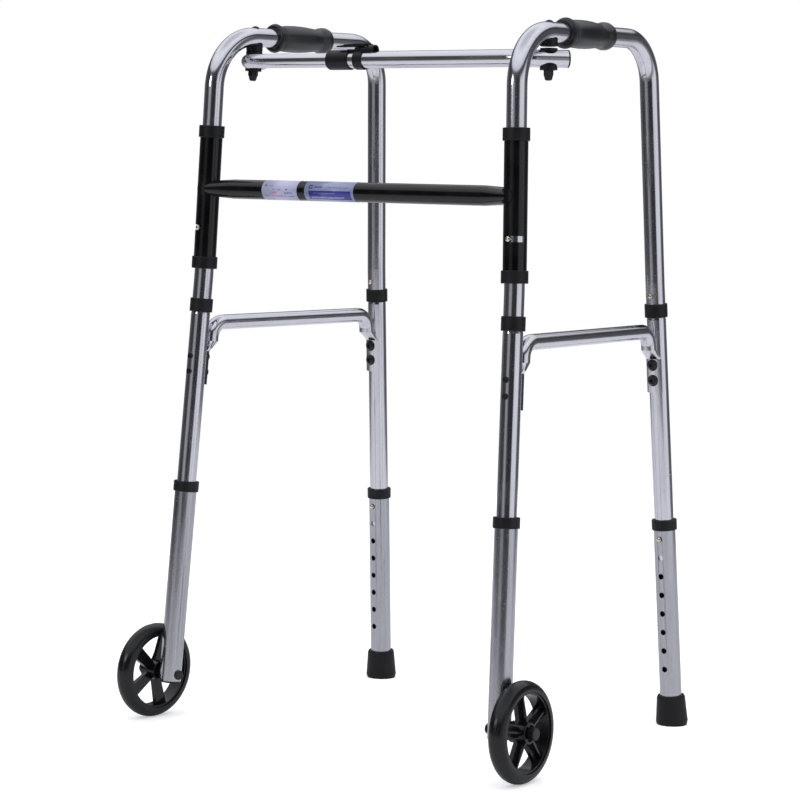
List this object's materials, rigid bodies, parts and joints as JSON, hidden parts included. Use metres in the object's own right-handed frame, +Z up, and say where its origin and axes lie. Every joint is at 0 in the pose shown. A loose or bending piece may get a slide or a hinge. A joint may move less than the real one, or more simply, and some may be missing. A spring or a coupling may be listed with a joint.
{
  "type": "walking frame",
  "caption": "Folding aluminium walking frame with front wheels on the outer sides, rubber rear feet, soft hand grips and legs of adjustable height.",
  "frame": {"origin": "on the floor, at the middle of the bounding box's base", "axes": "+Z up, +Y towards the user, the wheels and the black bar at -Y, +X to the user's left when standing in it facing -Y"},
  "size_m": [0.6546, 0.5121, 0.9351],
  "materials": {
    "plated_steel": "nickel plated",
    "spring_steel": "plain",
    "black_plastic": "satin moulded",
    "polished_aluminium": "bright anodised",
    "satin_aluminium": "satin anodised",
    "black_steel": "black oxide",
    "grip_rubber": "fine grain",
    "foot_rubber": "satin",
    "wheel_plastic": "gloss moulded",
    "black_paint": "gloss",
    "white_plastic": "plain"
  },
  "bodies": {
    "h_frame": {"crossbar_tube": "black_paint", "left_sleeve": "black_paint", "right_sleeve": "black_paint", "sleeve_collars": "black_plastic"},
    "left_side": {"left_hoop": "polished_aluminium", "left_grip": "grip_rubber", "left_front_middle_tube": "polished_aluminium", "left_rear_middle_tube": "polished_aluminium", "left_joint_collars": "black_plastic", "left_brace": "polished_aluminium", "left_brace_screws": "black_steel", "left_snap_springs": "spring_steel", "left_hoop_saddle": "black_plastic", "left_pivot_bolt": "black_steel"},
    "left_front_leg": {"left_front_lower_tube": "satin_aluminium", "left_front_lower_collar": "black_plastic", "left_front_plug": "black_plastic", "left_wheel_axle": "black_steel"},
    "left_front_joint_button_body": {"left_front_joint_button": "plated_steel"},
    "left_front_height_button_body": {"left_front_height_button": "plated_steel"},
    "left_rear_leg": {"left_rear_lower_tube": "satin_aluminium", "left_rear_lower_collar": "black_plastic", "left_foot": "foot_rubber"},
    "left_rear_joint_button_body": {"left_rear_joint_button": "plated_steel"},
    "left_rear_height_button_body": {"left_rear_height_button": "plated_steel"},
    "left_stop_button_body": {"left_stop_button": "plated_steel"},
    "left_wheel_body": {"left_wheel": "wheel_plastic"},
    "right_side": {"right_hoop": "polished_aluminium", "right_grip": "grip_rubber", "right_front_middle_tube": "polished_aluminium", "right_rear_middle_tube": "polished_aluminium", "right_joint_collars": "black_plastic", "right_brace": "polished_aluminium", "right_brace_screws": "black_steel", "right_snap_springs": "spring_steel", "right_hoop_saddle": "black_plastic", "right_pivot_bolt": "black_steel"},
    "right_front_leg": {"right_front_lower_tube": "satin_aluminium", "right_front_lower_collar": "black_plastic", "right_front_plug": "black_plastic", "right_wheel_axle": "black_steel"},
    "right_front_joint_button_body": {"right_front_joint_button": "plated_steel"},
    "right_front_height_button_body": {"right_front_height_button": "plated_steel"},
    "right_rear_leg": {"right_rear_lower_tube": "satin_aluminium", "right_rear_lower_collar": "black_plastic", "right_foot": "foot_rubber"},
    "right_rear_joint_button_body": {"right_rear_joint_button": "plated_steel"},
    "right_rear_height_button_body": {"right_rear_height_button": "plated_steel"},
    "right_stop_button_body": {"right_stop_button": "plated_steel"},
    "right_wheel_body": {"right_wheel": "wheel_plastic"},
    "left_pivot": {"left_pivot_nut": "black_steel"},
    "bar_inner": {"inner_tube": "polished_aluminium", "inner_tube_trim": "black_plastic"},
    "bar_bush": {"guide_bush": "white_plastic"},
    "bar_outer": {"outer_tube": "polished_aluminium", "outer_tube_trim": "black_plastic", "latch_housing": "black_plastic", "right_pivot_nut": "black_steel"},
    "latch_lever_body": {"latch_lever": "black_plastic"},
    "latch_pin_body": {"latch_pin": "plated_steel"}
  },
  "joints": [
    {"name": "left_fold", "type": "hinge", "parent": "h_frame", "child": "left_side", "pos_m": [-0.2521, -0.15019, 0.7], "axis": [-0.0312, -0.0358, -0.9989], "range_deg": [0, 76]},
    {"name": "left_front_height", "type": "slide", "parent": "left_side", "child": "left_front_leg", "axis": [0.0333, 0.0755, 0.9966], "range_m": [0, 0.1016], "deforming": ["left_front_height_button"]},
    {"name": "left_front_joint_button_press", "type": "slide", "parent": "left_side", "child": "left_front_joint_button_body", "axis": [-0.0534, -0.9956, 0.0772], "range_m": [0, 0.0048], "stiffness_N_per_m": 900, "deforming": ["left_snap_springs"]},
    {"name": "left_front_height_button_press", "type": "slide", "parent": "left_side", "child": "left_front_height_button_body", "axis": [-0.0534, -0.9956, 0.0772], "range_m": [0, 0.005], "stiffness_N_per_m": 900, "deforming": ["left_snap_springs"]},
    {"name": "left_rear_height", "type": "slide", "parent": "left_side", "child": "left_rear_leg", "axis": [0.0251, -0.0713, 0.9971], "range_m": [0, 0.1524], "deforming": ["left_rear_height_button"]},
    {"name": "left_rear_joint_button_press", "type": "slide", "parent": "left_side", "child": "left_rear_joint_button_body", "axis": [0.0577, 0.9959, 0.0697], "range_m": [0, 0.0048], "stiffness_N_per_m": 900, "deforming": ["left_snap_springs"]},
    {"name": "left_rear_height_button_press", "type": "slide", "parent": "left_side", "child": "left_rear_height_button_body", "axis": [0.0577, 0.9959, 0.0697], "range_m": [0, 0.005], "stiffness_N_per_m": 900, "deforming": ["left_snap_springs"]},
    {"name": "left_stop_button_press", "type": "slide", "parent": "left_side", "child": "left_stop_button_body", "axis": [0.0547, 0.9978, -0.0375], "range_m": [0, 0.0054], "stiffness_N_per_m": 900, "deforming": ["left_snap_springs"]},
    {"name": "left_wheel_spin", "type": "hinge", "parent": "left_front_leg", "child": "left_wheel_body", "pos_m": [-0.30493, -0.19265, 0.06332], "axis": [-0.998, 0.0558, 0.0291], "continuous": true},
    {"name": "right_fold", "type": "hinge", "parent": "h_frame", "child": "right_side", "pos_m": [0.2521, -0.15019, 0.7], "axis": [-0.0312, 0.0358, 0.9989], "range_deg": [0, 56]},
    {"name": "right_front_height", "type": "slide", "parent": "right_side", "child": "right_front_leg", "axis": [-0.0333, 0.0755, 0.9966], "range_m": [0, 0.1016], "deforming": ["right_front_height_button"]},
    {"name": "right_front_joint_button_press", "type": "slide", "parent": "right_side", "child": "right_front_joint_button_body", "axis": [0.0534, -0.9956, 0.0772], "range_m": [0, 0.0048], "stiffness_N_per_m": 900, "deforming": ["right_snap_springs"]},
    {"name": "right_front_height_button_press", "type": "slide", "parent": "right_side", "child": "right_front_height_button_body", "axis": [0.0534, -0.9956, 0.0772], "range_m": [0, 0.005], "stiffness_N_per_m": 900, "deforming": ["right_snap_springs"]},
    {"name": "right_rear_height", "type": "slide", "parent": "right_side", "child": "right_rear_leg", "axis": [-0.0251, -0.0713, 0.9971], "range_m": [0, 0.1524], "deforming": ["right_rear_height_button"]},
    {"name": "right_rear_joint_button_press", "type": "slide", "parent": "right_side", "child": "right_rear_joint_button_body", "axis": [-0.0577, 0.9959, 0.0697], "range_m": [0, 0.0048], "stiffness_N_per_m": 900, "deforming": ["right_snap_springs"]},
    {"name": "right_rear_height_button_press", "type": "slide", "parent": "right_side", "child": "right_rear_height_button_body", "axis": [-0.0577, 0.9959, 0.0697], "range_m": [0, 0.005], "stiffness_N_per_m": 900, "deforming": ["right_snap_springs"]},
    {"name": "right_stop_button_press", "type": "slide", "parent": "right_side", "child": "right_stop_button_body", "axis": [-0.0547, 0.9978, -0.0375], "range_m": [0, 0.0054], "stiffness_N_per_m": 900, "deforming": ["right_snap_springs"]},
    {"name": "right_wheel_spin", "type": "hinge", "parent": "right_front_leg", "child": "right_wheel_body", "pos_m": [0.30493, -0.19265, 0.06332], "axis": [0.998, 0.0558, 0.0291], "continuous": true},
    {"name": "left_pivot_turn", "type": "hinge", "parent": "left_side", "child": "left_pivot", "pos_m": [-0.24235, -0.07151, 0.88342], "axis": [0.0312, 0.0358, 0.9989], "range_deg": [0, 85.6]},
    {"name": "bar_turn", "type": "hinge", "parent": "left_pivot", "child": "bar_inner", "pos_m": [-0.24235, -0.07151, 0.88342], "axis": [0.0312, 0.0358, 0.9989], "range_deg": [-7, 0]},
    {"name": "bar_guide_slide", "type": "slide", "parent": "bar_inner", "child": "bar_bush", "axis": [-1, 0, 0], "range_m": [0, 0.066]},
    {"name": "bar_telescope", "type": "slide", "parent": "bar_bush", "child": "bar_outer", "axis": [-1, 0, 0], "range_m": [0, 0.063]},
    {"name": "latch_lever_press", "type": "hinge", "parent": "bar_outer", "child": "latch_lever_body", "pos_m": [-0.036, -0.09831, 0.89732], "axis": [0, -1, 0], "range_deg": [0, 4.5], "stiffness_Nm_per_rad": 0.6},
    {"name": "latch_pin_lift", "type": "slide", "parent": "bar_outer", "child": "latch_pin_body", "axis": [0, 0, 1], "range_m": [0, 0.001]}
  ],
  "couplings": [
    {"joint": "left_pivot_turn", "follows": "left_fold", "ratio": 1.1068},
    {"joint": "bar_turn", "follows": "right_fold", "ratio": -0.08165},
    {"joint": "bar_guide_slide", "follows": "left_fold", "m_per_rad": 0.048547},
    {"joint": "bar_telescope", "follows": "right_fold", "m_per_rad": 0.059456},
    {"joint": "latch_pin_lift", "follows": "latch_lever_press", "m_per_rad": 0.01095}
  ]
}
